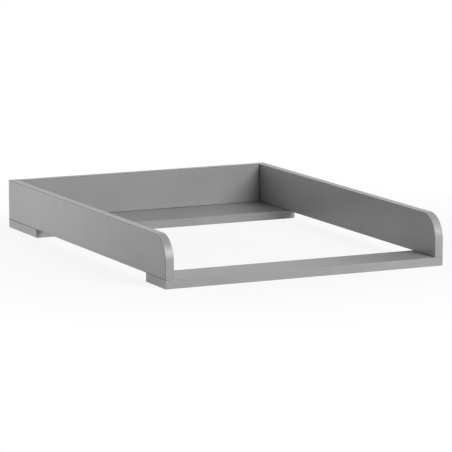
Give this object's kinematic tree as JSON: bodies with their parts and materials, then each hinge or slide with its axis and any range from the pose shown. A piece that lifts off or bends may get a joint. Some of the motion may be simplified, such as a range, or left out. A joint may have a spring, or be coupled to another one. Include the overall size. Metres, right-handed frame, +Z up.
{
  "type": "changing top for a chest of drawers",
  "caption": "Low open-fronted frame that stands on a chest of drawers and keeps a changing mat in place, with side and back walls on two flat rails.",
  "frame": {"origin": "middle of the frame's footprint, on the surface that the rails stand on", "axes": "+X to the right as seen from the open front, +Y to the back panel along the depth, +Z up"},
  "size_m": [0.54, 0.72, 0.091],
  "materials": {
    "grey_board": "satin grey melamine on chipboard",
    "grey_edge_band": "satin grey plastic edge band",
    "beech_dowel": "raw fluted beech",
    "zinc_cam": "dull cast zinc",
    "plated_steel": "bright zinc plating"
  },
  "bodies": {
    "root": {"left_side_panel": "grey_board", "right_side_panel": "grey_board", "back_panel": "grey_board", "front_rail": "grey_board", "rear_rail": "grey_board", "left_side_rim_band": "grey_edge_band", "left_side_rear_band": "grey_edge_band", "left_side_bottom_band": "grey_edge_band", "right_side_rim_band": "grey_edge_band", "right_side_rear_band": "grey_edge_band", "right_side_bottom_band": "grey_edge_band", "back_panel_top_band": "grey_edge_band", "back_panel_bottom_band": "grey_edge_band", "back_panel_left_end_band": "grey_edge_band", "back_panel_right_end_band": "grey_edge_band", "front_rail_front_band": "grey_edge_band", "front_rail_rear_band": "grey_edge_band", "front_rail_left_end_band": "grey_edge_band", "front_rail_right_end_band": "grey_edge_band", "rear_rail_front_band": "grey_edge_band", "rear_rail_rear_band": "grey_edge_band", "rear_rail_left_end_band": "grey_edge_band", "rear_rail_right_end_band": "grey_edge_band", "left_cam": "zinc_cam", "right_cam": "zinc_cam", "left_cam_bolt": "plated_steel", "right_cam_bolt": "plated_steel", "corner_dowels": "beech_dowel", "back_panel_dowels": "beech_dowel", "front_rail_dowels": "beech_dowel", "rear_rail_dowels": "beech_dowel", "front_rail_screws": "plated_steel", "rear_rail_screws": "plated_steel", "back_panel_screws": "plated_steel"}
  },
  "joints": []
}
